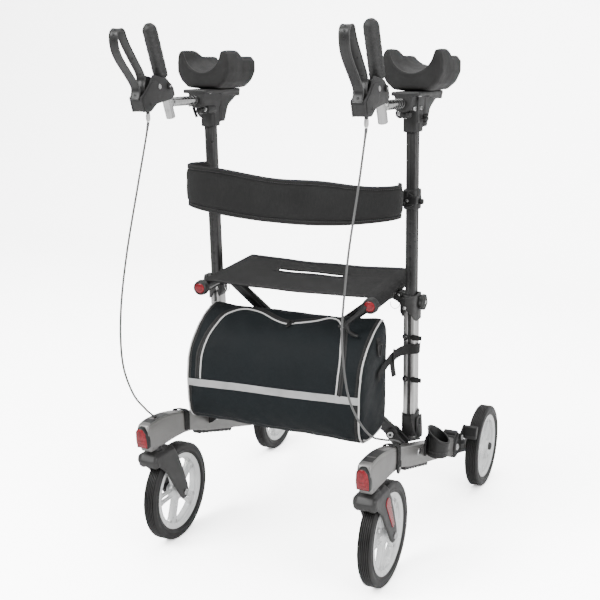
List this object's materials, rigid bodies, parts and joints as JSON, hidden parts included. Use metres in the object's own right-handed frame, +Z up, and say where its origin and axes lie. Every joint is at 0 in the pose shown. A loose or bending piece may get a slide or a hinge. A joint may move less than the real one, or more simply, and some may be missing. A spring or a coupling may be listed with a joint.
{
  "type": "rollator walker",
  "caption": "Folding upright rollator walker with forearm troughs, loop-brake handles, backrest band, sling seat over a cross brace, front bag, stick cup, swivel front and braked rear wheels.",
  "frame": {"origin": "centre of the footprint, on the floor", "axes": "+Z up; -Y is the front, the way it travels; +X is the side named right_, as seen from the front"},
  "size_m": [0.628, 0.8699, 1.1061],
  "materials": {
    "silver_tube": "satin anodised",
    "rail_grey": "pewter grey metallic coat",
    "black_tube": "satin black powder coat",
    "steel": "bright zinc screws and axles",
    "dark_steel": "semi-gloss black plate",
    "chrome": "polished",
    "grey_plastic": "fine-textured dark grey moulding",
    "black_plastic": "matte black moulding",
    "cast_grey": "fine-grained dark grey coating",
    "pad_grey": "soft moulded foam skin with a fine grain",
    "grip": "black grained wrap with a spiral seam",
    "tyre": "grooved black rubber",
    "rim": "clear pale moulded plastic",
    "reflector": "red prismatic lens",
    "cable": "grey cable sleeve",
    "seat_fabric": "dark grey woven nylon",
    "band_fabric": "dark grey padded nylon with bound edges",
    "bag_fabric": "blue-black woven nylon"
  },
  "bodies": {
    "left_frame": {"left_lower_rail": "rail_grey", "left_rear_stay": "dark_steel", "left_post_socket": "black_plastic", "left_outer_post": "silver_tube", "left_height_collar": "grey_plastic", "left_rail_reflector": "reflector", "left_brake_cable": "cable", "left_frame_bolts": "steel", "bag": "bag_fabric"},
    "left_upper_frame": {"left_inner_post": "black_tube", "left_armrest_bracket": "cast_grey", "left_forearm_pad": "pad_grey", "left_backrest_bracket": "black_plastic", "backrest_band": "band_fabric"},
    "left_handle": {"left_handle_tube": "chrome", "left_brake_housing": "cast_grey", "left_grip": "grip"},
    "left_lever": {"left_brake_lever": "dark_steel"},
    "left_height_knob": {"left_height_knob": "black_plastic"},
    "left_reach_knob": {"left_reach_knob": "black_plastic"},
    "left_caster": {"left_caster_fork": "grey_plastic", "left_fork_reflector": "reflector"},
    "left_front_wheel": {"left_front_tyre": "tyre", "left_front_rim": "rim"},
    "left_rear_wheel": {"left_rear_tyre": "tyre", "left_rear_rim": "rim"},
    "left_brake_arm": {"left_brake_arm": "black_plastic"},
    "right_frame": {"right_lower_rail": "rail_grey", "right_rear_stay": "dark_steel", "right_post_socket": "black_plastic", "right_outer_post": "silver_tube", "right_height_collar": "grey_plastic", "right_rail_reflector": "reflector", "right_brake_cable": "cable", "right_frame_bolts": "steel", "cane_cup": "black_plastic"},
    "right_upper_frame": {"right_inner_post": "black_tube", "right_armrest_bracket": "cast_grey", "right_forearm_pad": "pad_grey", "right_backrest_bracket": "black_plastic"},
    "right_handle": {"right_handle_tube": "chrome", "right_brake_housing": "cast_grey", "right_grip": "grip"},
    "right_lever": {"right_brake_lever": "dark_steel"},
    "right_height_knob": {"right_height_knob": "black_plastic"},
    "right_reach_knob": {"right_reach_knob": "black_plastic"},
    "right_caster": {"right_caster_fork": "grey_plastic", "right_fork_reflector": "reflector"},
    "right_front_wheel": {"right_front_tyre": "tyre", "right_front_rim": "rim"},
    "right_rear_wheel": {"right_rear_tyre": "tyre", "right_rear_rim": "rim"},
    "right_brake_arm": {"right_brake_arm": "black_plastic"},
    "brace_a": {"cross_bar_a": "black_tube", "right_seat_tube": "black_tube", "right_seat_cap": "black_plastic", "seat_sling": "seat_fabric"},
    "brace_b": {"cross_bar_b": "black_tube", "left_seat_tube": "black_tube", "left_seat_cap": "black_plastic"}
  },
  "joints": [
    {"name": "fold", "type": "hinge", "parent": "left_frame", "child": "brace_a", "pos_m": [-0.205, -0.083, 0.262], "axis": [0, -1, 0], "range_deg": [0, 33], "deforming": ["bag", "backrest_band"]},
    {"name": "brace_cross", "type": "hinge", "parent": "brace_a", "child": "brace_b", "pos_m": [0, -0.083, 0.42114], "axis": [0, 1, 0], "range_deg": [0, 66], "deforming": ["seat_sling"]},
    {"name": "fold_right_side", "type": "hinge", "parent": "brace_b", "child": "right_frame", "pos_m": [0.205, -0.083, 0.262], "axis": [0, -1, 0], "range_deg": [0, 33]},
    {"name": "left_height", "type": "slide", "parent": "left_frame", "child": "left_upper_frame", "axis": [0, -0.0419, 0.9991], "range_m": [-0.05, 0.1], "deforming": ["left_brake_cable"]},
    {"name": "left_reach", "type": "slide", "parent": "left_upper_frame", "child": "left_handle", "axis": [0, 1, 0], "range_m": [-0.03, 0.05], "deforming": ["left_brake_cable"]},
    {"name": "left_squeeze", "type": "hinge", "parent": "left_handle", "child": "left_lever", "pos_m": [-0.23, -0.318, 0.953], "axis": [-1, 0, 0], "range_deg": [0, 16], "stiffness_Nm_per_rad": 6, "springref_deg": -2.86},
    {"name": "left_height_knob_turn", "type": "hinge", "parent": "left_frame", "child": "left_height_knob", "pos_m": [-0.232, -0.05255, 0.54878], "axis": [1, 0, 0], "continuous": true},
    {"name": "left_reach_knob_turn", "type": "hinge", "parent": "left_upper_frame", "child": "left_reach_knob", "pos_m": [-0.23, -0.108, 0.93], "axis": [0, 0, 1], "continuous": true},
    {"name": "left_swivel", "type": "hinge", "parent": "left_frame", "child": "left_caster", "pos_m": [-0.246, -0.308, 0.2315], "axis": [0, 0, 1], "continuous": true},
    {"name": "left_front_roll", "type": "hinge", "parent": "left_caster", "child": "left_front_wheel", "pos_m": [-0.246, -0.233, 0.108], "axis": [1, 0, 0], "continuous": true},
    {"name": "left_rear_roll", "type": "hinge", "parent": "left_frame", "child": "left_rear_wheel", "pos_m": [-0.29, 0.335, 0.1], "axis": [1, 0, 0], "continuous": true},
    {"name": "left_brake", "type": "hinge", "parent": "left_frame", "child": "left_brake_arm", "pos_m": [-0.2685, 0.214, 0.16], "axis": [-1, 0, 0], "range_deg": [0, 5]},
    {"name": "right_height", "type": "slide", "parent": "right_frame", "child": "right_upper_frame", "axis": [0, -0.0419, 0.9991], "range_m": [-0.05, 0.1], "deforming": ["right_brake_cable"]},
    {"name": "right_reach", "type": "slide", "parent": "right_upper_frame", "child": "right_handle", "axis": [0, 1, 0], "range_m": [-0.03, 0.05], "deforming": ["right_brake_cable"]},
    {"name": "right_squeeze", "type": "hinge", "parent": "right_handle", "child": "right_lever", "pos_m": [0.23, -0.318, 0.953], "axis": [-1, 0, 0], "range_deg": [0, 16], "stiffness_Nm_per_rad": 6, "springref_deg": -2.86},
    {"name": "right_height_knob_turn", "type": "hinge", "parent": "right_frame", "child": "right_height_knob", "pos_m": [0.232, -0.05255, 0.54878], "axis": [1, 0, 0], "continuous": true},
    {"name": "right_reach_knob_turn", "type": "hinge", "parent": "right_upper_frame", "child": "right_reach_knob", "pos_m": [0.23, -0.108, 0.93], "axis": [0, 0, 1], "continuous": true},
    {"name": "right_swivel", "type": "hinge", "parent": "right_frame", "child": "right_caster", "pos_m": [0.246, -0.308, 0.2315], "axis": [0, 0, 1], "continuous": true},
    {"name": "right_front_roll", "type": "hinge", "parent": "right_caster", "child": "right_front_wheel", "pos_m": [0.246, -0.233, 0.108], "axis": [1, 0, 0], "continuous": true},
    {"name": "right_rear_roll", "type": "hinge", "parent": "right_frame", "child": "right_rear_wheel", "pos_m": [0.29, 0.335, 0.1], "axis": [1, 0, 0], "continuous": true},
    {"name": "right_brake", "type": "hinge", "parent": "right_frame", "child": "right_brake_arm", "pos_m": [0.2685, 0.214, 0.16], "axis": [-1, 0, 0], "range_deg": [0, 5]}
  ],
  "couplings": [
    {"joint": "brace_cross", "follows": "fold", "ratio": 2},
    {"joint": "fold_right_side", "follows": "fold", "ratio": 1},
    {"joint": "right_height", "follows": "left_height", "ratio": 1},
    {"joint": "left_brake", "follows": "left_squeeze", "ratio": 0.3125},
    {"joint": "right_brake", "follows": "right_squeeze", "ratio": 0.3125}
  ]
}
